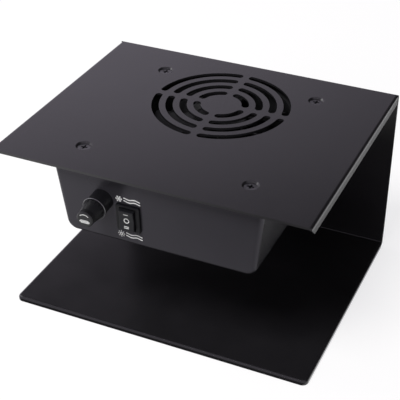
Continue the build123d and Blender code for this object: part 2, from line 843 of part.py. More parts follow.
def capacitors():
    y = supply_front + capacitor_radius + capacitor_inset
    middle = supply_left + supply_length / 2
    can = rod(capacitor_radius, board_top, board_top + capacitor_height)
    can = fillet(can.edges().group_by(Axis.Z)[-1], capacitor_edge)
    offset = capacitor_radius + capacitor_gap / 2
    return [Pos(middle + side * offset, y, 0) * can for side in (-1, 1)]


def in_metres(point):
    return [round(value / 1000, 6) for value in point]


stator_core, stator_coils = stator_parts()
pieces = {
    "frame_shell": frame_shell(),
    "rubber_feet": rubber_feet(),
    "housing": housing(),
    "housing_screws": housing_screws(),
    "fan_frame": fan_frame(),
    "fan_screws": pan_screws(fan_holes, fan_top, fan_screw_radius, fan_depth + fan_screw_bite,
                             fan_screw_head_radius, fan_screw_head),
    "fan_bearings": fan_bearings(),
    "motor_board": motor_board(),
    "stator_core": stator_core,
    "stator_coils": stator_coils,
    "fan_rotor": fan_rotor(),
    "rotor_magnet": rotor_magnet(),
    "rotor_shaft": rotor_shaft(),
    "shaft_clip": shaft_clip(),
    "heat_tubes": heat_tubes(),
    "heater_fins": heater_fins(),
    "heater_ends": heater_ends(),
    "heater_terminals": heater_terminals(),
    "heater_screws": pan_screws(heater_holes, floor_top + heater_lug_height, heater_screw_radius,
                                heater_lug_height + heater_screw_bite, heater_screw_head_radius,
                                heater_screw_head),
    "thermal_cutout": thermal_cutout(),
    "switch_body": switch_body(),
    "switch_terminals": switch_terminals(),
    "rocker": rocker(),
    "fuse_body": fuse_body(),
    "fuse_terminals": fuse_terminals(),
    "fuse_nut": fuse_nut(),
    "fuse_cap": fuse_cap(),
    "fuse_glass": fuse_glass(),
    "fuse_ends": fuse_ends(),
    "fuse_link": fuse_link(),
    "cord_gland": cord_gland(),
    "gland_nut": gland_nut(),
    "supply_board": supply_board(),
    "transformer": transformer(),
    "capacitors": capacitors(),
    "board_screws": pan_screws(board_holes, board_top, board_screw_radius,
                               board_thickness + board_screw_bite, board_screw_head_radius,
                             board_screw_head),
}


def solids_of(shape):
    shapes = shape if isinstance(shape, list) else [shape]
    return [solid for one in shapes for solid in one.solids()]


boxes = [solid.bounding_box() for name in ("frame_shell", "fuse_cap") for solid in solids_of(pieces[name])]
middle_y = (min(one.min.Y for one in boxes) + max(one.max.Y for one in boxes)) / 2
to_middle = Pos(0, -middle_y, 0)

os.makedirs("parts", exist_ok=True)
for name, shape in pieces.items():
    solids = [to_middle * solid for solid in solids_of(shape)]
    export_step(Compound(children=solids) if len(solids) > 1 else solids[0], f"parts/{name}.step")
    print(name, len(solids), "solids")

print("base middle is at Y", round(-middle_y, 4))
for name, place in (("switch pivot", switch_place * Pos(0, 0, pivot)), ("fuse", fuse_place),
                    ("gland", gland_place), ("rotor", Pos(grille_x, grille_y, fan_bottom))):
    placed = Plane(to_middle * place)
    print(name, in_metres(placed.origin), "axis", [round(v, 6) for v in placed.z_dir])
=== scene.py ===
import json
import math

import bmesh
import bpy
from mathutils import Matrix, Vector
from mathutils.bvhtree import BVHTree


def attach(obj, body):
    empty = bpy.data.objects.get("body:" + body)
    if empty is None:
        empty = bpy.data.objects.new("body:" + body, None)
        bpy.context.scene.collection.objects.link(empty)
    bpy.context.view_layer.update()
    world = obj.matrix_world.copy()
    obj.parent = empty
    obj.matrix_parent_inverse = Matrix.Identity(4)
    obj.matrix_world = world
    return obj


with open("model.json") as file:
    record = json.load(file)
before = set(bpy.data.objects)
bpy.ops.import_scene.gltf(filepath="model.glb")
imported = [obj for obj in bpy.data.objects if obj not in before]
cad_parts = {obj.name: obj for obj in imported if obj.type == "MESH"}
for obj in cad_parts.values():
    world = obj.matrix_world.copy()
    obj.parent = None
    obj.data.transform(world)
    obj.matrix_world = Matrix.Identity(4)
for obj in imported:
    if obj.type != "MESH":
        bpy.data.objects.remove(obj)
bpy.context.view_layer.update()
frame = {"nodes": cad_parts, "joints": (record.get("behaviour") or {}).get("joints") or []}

# %% [markdown]
# A nail dryer with a fan
#
# The real object is one folded steel sheet that carries a plastic housing. A fan in the housing
# draws air through the slots in the lid and blows it over a heater, down onto a hand. The packed
# CAD model already holds every separate part at its real place, in metres, so this lesson dresses
# those parts with finishes, prints the marks on them and lights the picture. Nothing in the CAD is
# moved: a new piece is placed from the CAD's own joints and surfaces.

MM = 0.001
nodes = frame["nodes"]
joints = {joint["name"]: joint for joint in frame["joints"]}
panel_out = Vector(joints["fuse_pull"]["axis"])
panel_across = Vector((1, 0, 0))
panel_up = panel_out.cross(panel_across)
lean = round(math.degrees(math.asin(-panel_out.z)), 1)
print(len(nodes), "CAD nodes, the panel leans", lean, "degrees")

# %% [markdown]
# The camera
#
# The photograph was taken from the front right and from above, with a fairly long lens, so the
# lid's edges converge only a little. A camera is easiest to set from the point that it looks at:
# step back from that point along the viewing direction, and turn the camera's minus Z to face it.
# The lens follows from the picture: focal length over sensor width equals the focal length in pixels
# over the picture's width.

# %% The camera at the photograph's viewing angle
VIEW_AZIMUTH = math.radians(24.412)
VIEW_ELEVATION = math.radians(33.026)
VIEW_DISTANCE = 0.689249
VIEW_TARGET = Vector((-0.0021, 0.0072, 0.0605))
FOCAL_PIXELS = 1070.97
PICTURE_PIXELS = 400
SENSOR_MM = 36.0

camera_data = bpy.data.cameras.new("camera")
camera = bpy.data.objects.new("camera", camera_data)
bpy.context.scene.collection.objects.link(camera)
level = math.cos(VIEW_ELEVATION)
backwards = Vector((math.sin(VIEW_AZIMUTH) * level, -math.cos(VIEW_AZIMUTH) * level,
                    math.sin(VIEW_ELEVATION)))
camera.location = VIEW_TARGET + backwards * VIEW_DISTANCE
camera.rotation_mode = "QUATERNION"
camera.rotation_quaternion = (-backwards).to_track_quat("-Z", "Y")
camera_data.sensor_width = SENSOR_MM
camera_data.lens = SENSOR_MM * FOCAL_PIXELS / PICTURE_PIXELS
camera_data.clip_start = 0.01
camera_data.clip_end = 50
bpy.context.scene.camera = camera
print("camera at", [round(v, 3) for v in camera.location], "lens", round(camera_data.lens, 1), "mm")

# %% [markdown]
# Small helpers for node trees
#
# A shader that tells several cases apart is easier to read when each step of its arithmetic is one
# short call. Light Path says what kind of ray has arrived: the camera's own, or one that a glossy or
# clear surface sent on. The world and the floor both answer those rays differently.

# %% Arithmetic, ranges and kinds of ray


def math_node(tree, operation, first, second):
    """One step of arithmetic. Either value may be a socket or a number."""
    node = tree.nodes.new("ShaderNodeMath")
    node.operation = operation
    for socket, value in zip(node.inputs, (first, second)):
        if isinstance(value, (int, float)):
            socket.default_value = value
        else:
            tree.links.new(value, socket)
    return node.outputs[0]


def spread_node(tree, value, low, high, to_low, to_high):
    """Carries a value from one range to another, smoothly and without leaving it."""
    node = tree.nodes.new("ShaderNodeMapRange")
    node.interpolation_type = "SMOOTHSTEP"
    tree.links.new(value, node.inputs["Value"])
    ends = {"From Min": low, "From Max": high, "To Min": to_low, "To Max": to_high}
    for name, number in ends.items():
        node.inputs[name].default_value = number
    return node.outputs[0]


def mirrored_rays(tree):
    """Light Path, and a value that is 1 for glossy and transmission rays."""
    path = tree.nodes.new("ShaderNodeLightPath")
    glossy, clear = path.outputs["Is Glossy Ray"], path.outputs["Is Transmission Ray"]
    return path, math_node(tree, "MAXIMUM", glossy, clear)


def mix_shaders(tree, factor, first, second):
    """Goes from the first shader to the second with factor. A shader left out is black."""
    mix = tree.nodes.new("ShaderNodeMixShader")
    for socket, source in zip(mix.inputs, (factor, first, second)):
        if source:
            tree.links.new(source, socket)
    return mix.outputs[0]


print("four node helpers")

# %% [markdown]
# What a reflection finds in the room
#
# Black paint shows almost nothing of its own colour: what the eye reads is the room that its satin
# surface mirrors. In the photograph the lid mirrors a pale wall that is bright on the left and falls
# away to the right. So the brightness of the room is written as a function of direction: bright on
# the left and low down, dark on the right and overhead, and fairly bright behind the camera.

# %% The room's brightness by direction
WORLD_MIRRORED = 0.94
BRIGHT_X, DARK_X = -0.6, 0.15
LOW_Z, HIGH_Z = 0.49, 0.60
DARK_SIDE, OVERHEAD = 0.04, 0.06
NEAR_Y = (0.2, -0.2)
BEHIND_CAMERA = 0.7


def room_brightness(tree):
    """How bright a reflection finds the room in its direction."""
    direction = tree.nodes.new("ShaderNodeTexCoord")
    parts = tree.nodes.new("ShaderNodeSeparateXYZ")
    tree.links.new(direction.outputs["Generated"], parts.inputs[0])
    sideways = spread_node(tree, parts.outputs["X"], BRIGHT_X, DARK_X, 1, DARK_SIDE)
    upward = spread_node(tree, parts.outputs["Z"], LOW_Z, HIGH_Z, 1, OVERHEAD)
    far_wall = math_node(tree, "MULTIPLY", sideways, upward)
    near_part = spread_node(tree, parts.outputs["Y"], *NEAR_Y, 0, BEHIND_CAMERA)
    brightest = math_node(tree, "MAXIMUM", far_wall, near_part)
    return math_node(tree, "MULTIPLY", brightest, WORLD_MIRRORED)


print("reflections find a room of up to", WORLD_MIRRORED)

# %% [markdown]
# The world
#
# The world then has three answers. The camera, where it looks past the object, finds plain white. A
# reflection finds the brightness that the last cell works out. Everything else gets an even and much
# dimmer light, so the picture keeps its shadows.

# %% A white world that lights gently and mirrors unevenly
WORLD_LIGHT = 0.14
WHITE = (1, 1, 1, 1)
MIRRORED_TINT = (0.92, 0.85, 1.0, 1)

world = bpy.data.worlds.new("white_room")
bpy.context.scene.world = world
world.use_nodes = True
tree = world.node_tree
tree.nodes.clear()


def background(color, strength):
    """A Background shader. Its strength may be a number or a socket."""
    shader = tree.nodes.new("ShaderNodeBackground")
    shader.inputs["Color"].default_value = color
    if isinstance(strength, float):
        shader.inputs["Strength"].default_value = strength
    else:
        tree.links.new(strength, shader.inputs["Strength"])
    return shader.outputs[0]


path, mirrored = mirrored_rays(tree)
mirrored_room = background(MIRRORED_TINT, room_brightness(tree))
room = mix_shaders(tree, mirrored, background(WHITE, WORLD_LIGHT), mirrored_room)
backdrop = background(WHITE, 1.0)
output = tree.nodes.new("ShaderNodeOutputWorld")
tree.links.new(mix_shaders(tree, path.outputs["Is Camera Ray"], room, backdrop), output.inputs[0])
bpy.context.scene.view_settings.view_transform = "Standard"
print("world gives", WORLD_LIGHT, "as light and up to", WORLD_MIRRORED, "in reflections")

# %% [markdown]
# The pale floor
#
# The object in the photograph stands on a seamless white ground, with a faint shadow.

# %% One large face
FLOOR_HALF = 3.0

floor_mesh = bpy.data.meshes.new("floor")
floor = bpy.data.objects.new("floor", floor_mesh)
bpy.context.scene.collection.objects.link(floor)
bm = bmesh.new()
bmesh.ops.create_grid(bm, x_segments=1, y_segments=1, size=FLOOR_HALF)
bm.to_mesh(floor_mesh)
bm.free()
print("floor", 2 * FLOOR_HALF, "m square")

# %% [markdown]
# Shade for the reflections
#
# A white floor under plain light would render grey, and more light would wash out the object, so the
# floor also glows, for the camera and for reflections. Reflections see the glow alone, which has no
# shadow of its own, so painted shade dims it for them: close in front of the base, along the shadow on
# the right, and softly in front of the panel's right half. The front right corner of the floor stays
# bright, and shows as a soft line on the housing's rounded corner. Places are in metres on the floor.

# %% How much of the glow a reflection sees
FLOOR_MIRRORED = 1.25
DIM_PLACE = (0.03, -0.225)
DIM_REACH = 0.20
DIM_AMOUNT = 1.15
FRONT_SHADE = (-0.13, -0.067)
RIGHT_SHADE = (0.182, 0.135)
OPEN_CORNER = (-0.02, -0.08)
BASE_SIDE = 0.1035
SHADE_LEVEL = 0.03


def soft_spot(tree, place, reach):
    """A value of 1 at a place on the floor that falls to 0 at its reach."""
    source = tree.nodes.new("ShaderNodeTexCoord")
    centred = tree.nodes.new("ShaderNodeMapping")
    centred.vector_type = "TEXTURE"
    centred.inputs["Location"].default_value = (*place, 0)
    centred.inputs["Scale"].default_value = (reach, reach, reach)
    spot = tree.nodes.new("ShaderNodeTexGradient")
    spot.gradient_type = "SPHERICAL"
    tree.links.new(source.outputs["Object"], centred.inputs["Vector"])
    tree.links.new(centred.outputs[0], spot.inputs["Vector"])
    return spot.outputs["Fac"]


def shade_beside_base(tree):
    """The shade along the base's front edge and along its right side, 1 elsewhere."""
    source = tree.nodes.new("ShaderNodeTexCoord")
    parts = tree.nodes.new("ShaderNodeSeparateXYZ")
    tree.links.new(source.outputs["Object"], parts.inputs[0])
    x, y = parts.outputs["X"], parts.outputs["Y"]
    at_right = math_node(tree, "GREATER_THAN", x, BASE_SIDE)
    not_right = math_node(tree, "SUBTRACT", 1, at_right)
    in_front = math_node(tree, "MULTIPLY", math_node(tree, "LESS_THAN", y, FRONT_SHADE[1]), not_right)
    elsewhere = math_node(tree, "SUBTRACT", 1, in_front)
    front_shade = spread_node(tree, y, *FRONT_SHADE, 1, SHADE_LEVEL)
    right_shade = math_node(tree, "MAXIMUM", spread_node(tree, x, *RIGHT_SHADE, 1, SHADE_LEVEL),
                            spread_node(tree, y, *OPEN_CORNER, 0, 1))
    beside = math_node(tree, "MAXIMUM", right_shade, not_right)
    return math_node(tree, "ADD", math_node(tree, "MULTIPLY", front_shade, in_front),
                     math_node(tree, "MULTIPLY", beside, elsewhere))


# Painted shade: the soft spot and the strips beside the base darken the glow that reflections see.
def mirrored_glow(tree):
    """The glow's strength in reflections."""
    spot = math_node(tree, "MULTIPLY", soft_spot(tree, DIM_PLACE, DIM_REACH), DIM_AMOUNT)
    dimmed = math_node(tree, "SUBTRACT", FLOOR_MIRRORED, spot)
    return math_node(tree, "MULTIPLY", dimmed, shade_beside_base(tree))


print("the glow dims to", SHADE_LEVEL, "of itself beside the base")

# %% [markdown]
# Paper and glow
#
# The floor's paper is lit by the lamps, and that part is what the object's shadow takes away. The
# glow tops it up to white for the camera, at a strength below one.

# %% A floor that glows for the camera and keeps its shadow
FLOOR_PAPER = (0.30, 0.295, 0.285, 1)
FLOOR_SEEN = 0.765
GLOW_COLOUR = (0.985, 0.98, 1, 1)

floor_paint = bpy.data.materials.new("floor_paper")
floor_paint.use_nodes = True
tree = floor_paint.node_tree
tree.nodes.clear()
paper = tree.nodes.new("ShaderNodeBsdfDiffuse")
paper.inputs["Color"].default_value = FLOOR_PAPER
path, mirrored = mirrored_rays(tree)
seen = math_node(tree, "MULTIPLY", path.outputs["Is Camera Ray"], FLOOR_SEEN)
strength = math_node(tree, "ADD", seen, math_node(tree, "MULTIPLY", mirrored, mirrored_glow(tree)))
glow = tree.nodes.new("ShaderNodeEmission")
glow.inputs["Color"].default_value = GLOW_COLOUR
tree.links.new(strength, glow.inputs["Strength"])
both = tree.nodes.new("ShaderNodeAddShader")
tree.links.new(mix_shaders(tree, mirrored, paper.outputs[0], None), both.inputs[0])
tree.links.new(glow.outputs[0], both.inputs[1])
output = tree.nodes.new("ShaderNodeOutputMaterial")
tree.links.new(both.outputs[0], output.inputs[0])
floor_mesh.materials.append(floor_paint)
print(floor_paint.name, "glows at", FLOOR_SEEN, "for the camera")

# %% [markdown]
# Studio light
#
# Three area lamps stand in for softboxes. The shadow in the photograph is short and falls behind
# the right side, so the main lamp is high in front and a little to the left. The one on the left
# lights the left half of the base, and a weak one low in front reaches under the lid to the foot of
# the back wall, so the rest of the wall stays black. They stand well back, so that the floor is lit
# evenly. Together they light a face about as much as makes a colour render as it is written. The
# two in front are left out of reflections, so the round edges stay as dark as in the photograph.

# %% Three soft lamps


def softbox(name, place, size, power):
    """A square lamp that faces the origin."""
    light = bpy.data.lights.new(name, "AREA")
    light.shape = "SQUARE"
    light.size = size
    light.energy = power
    lamp = bpy.data.objects.new(name, light)
    bpy.context.scene.collection.objects.link(lamp)
    lamp.location = place
    lamp.rotation_mode = "QUATERNION"
    lamp.rotation_quaternion = (-Vector(place)).to_track_quat("-Z", "Y")
    print("lamp", name, power, "W")
    return lamp


main_softbox = softbox("main_softbox", place=(-0.5, -1.9, 3.2), size=1.3, power=98.0)
low_softbox = softbox("low_softbox", place=(-0.3, -2.8, 1.3), size=1.0, power=22.0)
softbox("left_softbox", place=(-2.4, 0.2, 2.2), size=1.6, power=22.0)
for lamp in (main_softbox, low_softbox):
    lamp.visible_glossy = False

# %% [markdown]
# A shared grain
#
# Powder coat, moulded plastic, rubber and rolled metal all have a fine grain and a slow, patchy
# change of tone. One node group makes both from noise, and most finishes below use it with their
# own grain and patch size in millimetres. The group puts out only values. Each material keeps its
# own Principled shader, and turns the grain into a bump and the patches into colour and roughness.

# %% The node group for grain and patches
PATCH_LOW, PATCH_HIGH = 0.3, 0.7

grain_group = bpy.data.node_groups.new("grain_and_patches", "ShaderNodeTree")
for name, kind in (("Vector", "NodeSocketVector"), ("Grain mm", "NodeSocketFloat"),
                   ("Patch mm", "NodeSocketFloat")):
    grain_group.interface.new_socket(name, in_out="INPUT", socket_type=kind)
for name in ("Grain", "Patches"):
    grain_group.interface.new_socket(name, in_out="OUTPUT", socket_type="NodeSocketFloat")


def fill_grain_group(tree):
    """Two noises: a fine one for the bumps, and a slow one spread over the whole range."""
    start = tree.nodes.new("NodeGroupInput")
    end = tree.nodes.new("NodeGroupOutput")

    def noise(scale, detail, roughness):
        node = tree.nodes.new("ShaderNodeTexNoise")
        node.inputs["Detail"].default_value = detail
        node.inputs["Roughness"].default_value = roughness
        tree.links.new(start.outputs["Vector"], node.inputs["Vector"])
        tree.links.new(scale, node.inputs["Scale"])
        return node.outputs[0]

    grain_scale = math_node(tree, "DIVIDE", 1 / MM, start.outputs["Grain mm"])
    patch_scale = math_node(tree, "DIVIDE", 1 / MM, start.outputs["Patch mm"])
    tree.links.new(noise(grain_scale, detail=2.0, roughness=0.5), end.inputs["Grain"])
    spread = tree.nodes.new("ShaderNodeMapRange")
    spread.inputs["From Min"].default_value = PATCH_LOW
    spread.inputs["From Max"].default_value = PATCH_HIGH
    tree.links.new(noise(patch_scale, detail=3.0, roughness=0.6), spread.inputs["Value"])
    tree.links.new(spread.outputs[0], end.inputs["Patches"])


fill_grain_group(grain_group)
print("group", grain_group.name, "with", len(grain_group.nodes), "nodes")

# %% [markdown]
# A finish from the grain
#
# Most parts differ only in colour, gloss and the size of their grain, so one function builds such
# a material. Object coordinates are in metres and fixed to the part, so the grain keeps its real
# size and doesn't slide when a part moves. A stretch draws the grain out, for metal that was rolled
# or ground: the grains get longer along an axis whose number is below one, and shorter above one.

# %% A function that makes a grained finish
STRETCH_NONE = (1, 1, 1)


def object_coordinates(tree, stretch=STRETCH_NONE):
    """Places on the part, in metres, stretched where its grain is drawn out."""
    source = tree.nodes.new("ShaderNodeTexCoord")
    mapping = tree.nodes.new("ShaderNodeMapping")
    mapping.inputs["Scale"].default_value = stretch
    tree.links.new(source.outputs["Object"], mapping.inputs["Vector"])
    return mapping.outputs[0]


def mixed_colour(tree, factor, first, second):
    """A colour that goes from first to second with factor. Either end may be a socket."""
    mix = tree.nodes.new("ShaderNodeMix")
    mix.data_type = "RGBA"
    tree.links.new(factor, mix.inputs["Factor"])
    for socket, value in ((mix.inputs[6], first), (mix.inputs[7], second)):
        if isinstance(value, tuple):
            socket.default_value = (*value, 1)
        else:
            tree.links.new(value, socket)
    return mix.outputs[2]


def ranged(tree, factor, low, high):
    """Carries a value of 0 to 1 to a range."""
    spread = tree.nodes.new("ShaderNodeMapRange")
    spread.inputs["To Min"].default_value = low
    spread.inputs["To Max"].default_value = high
    tree.links.new(factor, spread.inputs["Value"])
    return spread.outputs[0]


def bumped(tree, shader, height, depth_mm):
    """Turns a height of 0 to 1 into bumps of a depth."""
    bump = tree.nodes.new("ShaderNodeBump")
    bump.inputs["Strength"].default_value = 1.0
    bump.inputs["Distance"].default_value = depth_mm * MM
    tree.links.new(height, bump.inputs["Height"])
    tree.links.new(bump.outputs[0], shader.inputs["Normal"])


def grained_finish(name, dark, light, roughness, grain_mm, patch_mm, depth_mm, stretch=STRETCH_NONE,
                   **sockets):
    """A material whose colour and roughness drift in patches, over a fine bump."""
    material = bpy.data.materials.new(name)
    material.use_nodes = True
    tree = material.node_tree
    shader = tree.nodes["Principled BSDF"]
    grain = tree.nodes.new("ShaderNodeGroup")
    grain.node_tree = grain_group
    grain.inputs["Grain mm"].default_value = grain_mm
    grain.inputs["Patch mm"].default_value = patch_mm
    tree.links.new(object_coordinates(tree, stretch), grain.inputs["Vector"])
    patches = grain.outputs["Patches"]
    tree.links.new(mixed_colour(tree, patches, dark, light), shader.inputs["Base Color"])
    tree.links.new(ranged(tree, patches, *roughness), shader.inputs["Roughness"])
    bumped(tree, shader, grain.outputs["Grain"], depth_mm)
    for socket, value in sockets.items():
        shader.inputs[socket.replace("_", " ")].default_value = value
    return material


def dress(material, *names):
    """Gives CAD nodes a material. Their meshes stay as they are."""
    for name in names:
        for slot in nodes[name].material_slots:
            slot.material = material
    print(material.name, "on", ", ".join(names))


print("a finish has a grain and a patch size in millimetres")

# %% [markdown]
# The folded stand
#
# The stand is steel sheet with a satin black powder coat. Powder melts into a skin with a slight
# orange peel, under a millimetre from bump to bump, and its gloss is uneven over some centimetres.
# The black in the photograph leans to violet, so the coat's colour and the mirrored room both do.

# %% Powder coat on the stand
powder_coat = grained_finish(
    "powder_coat", dark=(0.011, 0.0105, 0.012), light=(0.015, 0.014, 0.016),
    roughness=(0.17, 0.23), grain_mm=0.55, patch_mm=45.0, depth_mm=0.02)
dress(powder_coat, "frame_shell")

# %% [markdown]
# The moulded housing
#
# The housing hangs under the lid and is moulded in black plastic. Its mould was spark eroded, which
# leaves an even, matt grain that is finer than the powder coat's. It scatters more light than the
# coat and mirrors a little less, which a lower index of refraction gives, and a tint of what it
# mirrors keeps its highlights as violet as the photograph's.

# %% Textured plastic on the housing
housing_plastic = grained_finish(
    "textured_housing_plastic", dark=(0.027, 0.0255, 0.0305), light=(0.031, 0.0295, 0.035),
    roughness=(0.22, 0.28), grain_mm=0.35, patch_mm=60.0, depth_mm=0.015,
    IOR=1.36, Specular_Tint=(0.92, 0.87, 1, 1))
dress(housing_plastic, "housing")

# %% [markdown]
# Rubber, nylon and satin plastic
#
# The feet are matt rubber, the cord gland is moulded nylon, the switch and the fuse holder are a
# denser plastic with a satin skin, and the fan is a plain one. All are near black, so what tells
# them apart is their gloss.

# %% Rubber and the dark plastics
foot_rubber = grained_finish(
    "foot_rubber", dark=(0.010, 0.010, 0.010), light=(0.020, 0.019, 0.018),
    roughness=(0.75, 0.9), grain_mm=0.3, patch_mm=8.0, depth_mm=0.05)
gland_nylon = grained_finish(
    "gland_nylon", dark=(0.014, 0.014, 0.015), light=(0.022, 0.022, 0.023),
    roughness=(0.35, 0.5), grain_mm=0.5, patch_mm=12.0, depth_mm=0.02)
holder_plastic = grained_finish(
    "fuse_holder_plastic", dark=(0.004, 0.004, 0.005), light=(0.007, 0.007, 0.008),
    roughness=(0.42, 0.52), grain_mm=0.6, patch_mm=9.0, depth_mm=0.015)
bezel_plastic = grained_finish(
    "bezel_plastic", dark=(0.002, 0.002, 0.0025), light=(0.004, 0.004, 0.005),
    roughness=(0.38, 0.5), grain_mm=0.4, patch_mm=10.0, depth_mm=0.02,
    IOR=1.33)
rocker_plastic = grained_finish(
    "rocker_plastic", dark=(0.008, 0.008, 0.0095), light=(0.012, 0.012, 0.014),
    roughness=(0.35, 0.45), grain_mm=0.4, patch_mm=7.0, depth_mm=0.015,
    IOR=1.33)
fan_plastic = grained_finish(
    "fan_plastic", dark=(0.010, 0.010, 0.011), light=(0.018, 0.018, 0.019),
    roughness=(0.4, 0.55), grain_mm=0.6, patch_mm=20.0, depth_mm=0.02)
dress(foot_rubber, "rubber_feet")
dress(gland_nylon, "cord_gland", "gland_nut")
dress(holder_plastic, "fuse_body", "fuse_nut", "fuse_cap")
dress(bezel_plastic, "switch_body")
dress(rocker_plastic, "rocker")
dress(fan_plastic, "fan_frame", "fan_rotor", "shaft_clip")

# %% [markdown]
# Screws and ground steel
#
# The lid screws are blackened steel whose tone drifts between dark and bare. The screws inside are
# plain zinc. The bearings and the shaft are ground, which leaves fine lines round their axis, so
# their grain is drawn out across that axis and pressed together along it.

# %% Steel
lid_screw_steel = grained_finish(
    "blackened_screw_steel", dark=(0.10, 0.10, 0.105), light=(0.24, 0.24, 0.245),
    roughness=(0.28, 0.42), grain_mm=0.8, patch_mm=1.6, depth_mm=0.02,
    Metallic=1.0)
zinc = grained_finish(
    "zinc_plate", dark=(0.42, 0.42, 0.43), light=(0.60, 0.60, 0.62),
    roughness=(0.25, 0.4), grain_mm=0.5, patch_mm=3.0, depth_mm=0.01,
    Metallic=1.0)
ground_steel = grained_finish(
    "ground_steel", dark=(0.52, 0.52, 0.54), light=(0.62, 0.62, 0.64),
    roughness=(0.15, 0.25), grain_mm=0.3, patch_mm=4.0, depth_mm=0.004,
    stretch=(0.1, 0.1, 4.0), Metallic=1.0)
dress(lid_screw_steel, "housing_screws")
dress(zinc, "fan_screws", "heater_screws", "board_screws")
dress(ground_steel, "fan_bearings", "rotor_shaft")

# %% [markdown]
# Brass, aluminium and nickel
#
# The tabs are stamped from tinned brass, the heater's tubes and fins are rolled aluminium, and the
# fuse's ends and wire are nickel plated. Sheet that was rolled has its grain drawn out as well.

# %% The paler metals
tinned_brass = grained_finish(
    "tinned_brass", dark=(0.62, 0.56, 0.42), light=(0.74, 0.68, 0.55),
    roughness=(0.25, 0.4), grain_mm=0.5, patch_mm=3.0, depth_mm=0.01,
    stretch=(1, 0.2, 1), Metallic=1.0)
rolled_aluminium = grained_finish(
    "rolled_aluminium", dark=(0.66, 0.67, 0.68), light=(0.80, 0.80, 0.81),
    roughness=(0.3, 0.45), grain_mm=0.5, patch_mm=14.0, depth_mm=0.015,
    stretch=(0.1, 1, 1), Metallic=1.0)
nickel = grained_finish(
    "nickel_plate", dark=(0.58, 0.57, 0.55), light=(0.70, 0.69, 0.66),
    roughness=(0.15, 0.25), grain_mm=0.4, patch_mm=2.0, depth_mm=0.004,
    Metallic=1.0)
dress(tinned_brass, "heater_terminals", "switch_terminals", "fuse_terminals")
dress(rolled_aluminium, "heat_tubes", "heater_fins")
dress(nickel, "fuse_ends", "fuse_link")

# %% [markdown]
# Layered parts
#
# Some parts are built from layers that show as fine lines: the stator core is a stack of stamped
# sheets, a winding is wire laid turn beside turn, and the transformer is wrapped in tape. A Wave
# texture draws such lines at their real pitch. At a scale of one, its waves are 2 pi / 20 of a unit
# apart, so that length over the pitch is the scale.

# %% Stamped sheets, copper wire and tape
WAVE_SPAN = 2 * math.pi / 20
WAVE_WANDER = 0.4


def layered_finish(name, dark, light, roughness, pitch_mm, direction, depth_mm, **sockets):
    """A material with lines at a pitch across one axis."""
    material = bpy.data.materials.new(name)
    material.use_nodes = True
    tree = material.node_tree
    shader = tree.nodes["Principled BSDF"]
    wave = tree.nodes.new("ShaderNodeTexWave")
    wave.wave_type = "BANDS"
    wave.bands_direction = direction
    wave.inputs["Scale"].default_value = WAVE_SPAN / (pitch_mm * MM)
    wave.inputs["Distortion"].default_value = WAVE_WANDER
    wave.inputs["Detail"].default_value = 1.0
    tree.links.new(object_coordinates(tree), wave.inputs["Vector"])
    lines = wave.outputs["Fac"]
    tree.links.new(mixed_colour(tree, lines, dark, light), shader.inputs["Base Color"])
    tree.links.new(ranged(tree, lines, *roughness), shader.inputs["Roughness"])
    bumped(tree, shader, lines, depth_mm)
    for socket, value in sockets.items():
        shader.inputs[socket.replace("_", " ")].default_value = value
    return material


laminations = layered_finish(
    "stator_laminations", dark=(0.12, 0.12, 0.12), light=(0.34, 0.34, 0.35),
    roughness=(0.5, 0.35), pitch_mm=0.5, direction="Z", depth_mm=0.06,
    Metallic=1.0)
windings = layered_finish(
    "copper_windings", dark=(0.30, 0.11, 0.05), light=(0.80, 0.36, 0.18),
    roughness=(0.4, 0.2), pitch_mm=0.35, direction="Z", depth_mm=0.1,
    Metallic=1.0)
winding_tape = layered_finish(
    "winding_tape", dark=(0.50, 0.36, 0.05), light=(0.70, 0.53, 0.10),
    roughness=(0.35, 0.25), pitch_mm=3.0, direction="Z", depth_mm=0.05)
dress(laminations, "stator_core")
dress(windings, "stator_coils")
dress(winding_tape, "transformer")

# %% [markdown]
# Boards, ceramics and the fuse
#
# The circuit boards are woven glass under a green lacquer, so their grain is coarser. The magnet is
# pressed powder, the heater's end blocks are mica and the thermal cut-out is ceramic: all are dull,
# and they go from dark grey through brown to cream. The capacitors wear a dark blue shrunk sleeve.
# The fuse's tube is clear glass: a plain transmission on the shader, with only a slight drift of its
# roughness and tint.

# %% The remaining finishes
board_lacquer = grained_finish(
    "board_lacquer", dark=(0.012, 0.075, 0.028), light=(0.030, 0.130, 0.050),
    roughness=(0.25, 0.4), grain_mm=0.7, patch_mm=5.0, depth_mm=0.03)
magnet_ferrite = grained_finish(
    "magnet_ferrite", dark=(0.03, 0.03, 0.032), light=(0.07, 0.07, 0.072),
    roughness=(0.5, 0.7), grain_mm=0.3, patch_mm=2.0, depth_mm=0.04)
mica_block = grained_finish(
    "mica_block", dark=(0.10, 0.075, 0.05), light=(0.20, 0.16, 0.115),
    roughness=(0.45, 0.65), grain_mm=0.9, patch_mm=3.0, depth_mm=0.05)
cutout_ceramic = grained_finish(
    "cutout_ceramic", dark=(0.55, 0.50, 0.40), light=(0.68, 0.64, 0.54),
    roughness=(0.4, 0.55), grain_mm=0.5, patch_mm=4.0, depth_mm=0.03)
shrunk_sleeve = grained_finish(
    "shrunk_sleeve", dark=(0.012, 0.018, 0.06), light=(0.022, 0.032, 0.10),
    roughness=(0.2, 0.3), grain_mm=0.8, patch_mm=6.0, depth_mm=0.01)
clear_glass = grained_finish(
    "clear_glass", dark=(0.94, 0.97, 0.96), light=(0.98, 0.99, 0.985),
    roughness=(0.01, 0.03), grain_mm=1.5, patch_mm=6.0, depth_mm=0.001,
    Transmission_Weight=1.0, IOR=1.5)
dress(board_lacquer, "supply_board", "motor_board")
dress(magnet_ferrite, "rotor_magnet")
dress(mica_block, "heater_ends")
dress(cutout_ceramic, "thermal_cutout")
dress(shrunk_sleeve, "capacitors")
dress(clear_glass, "fuse_glass")

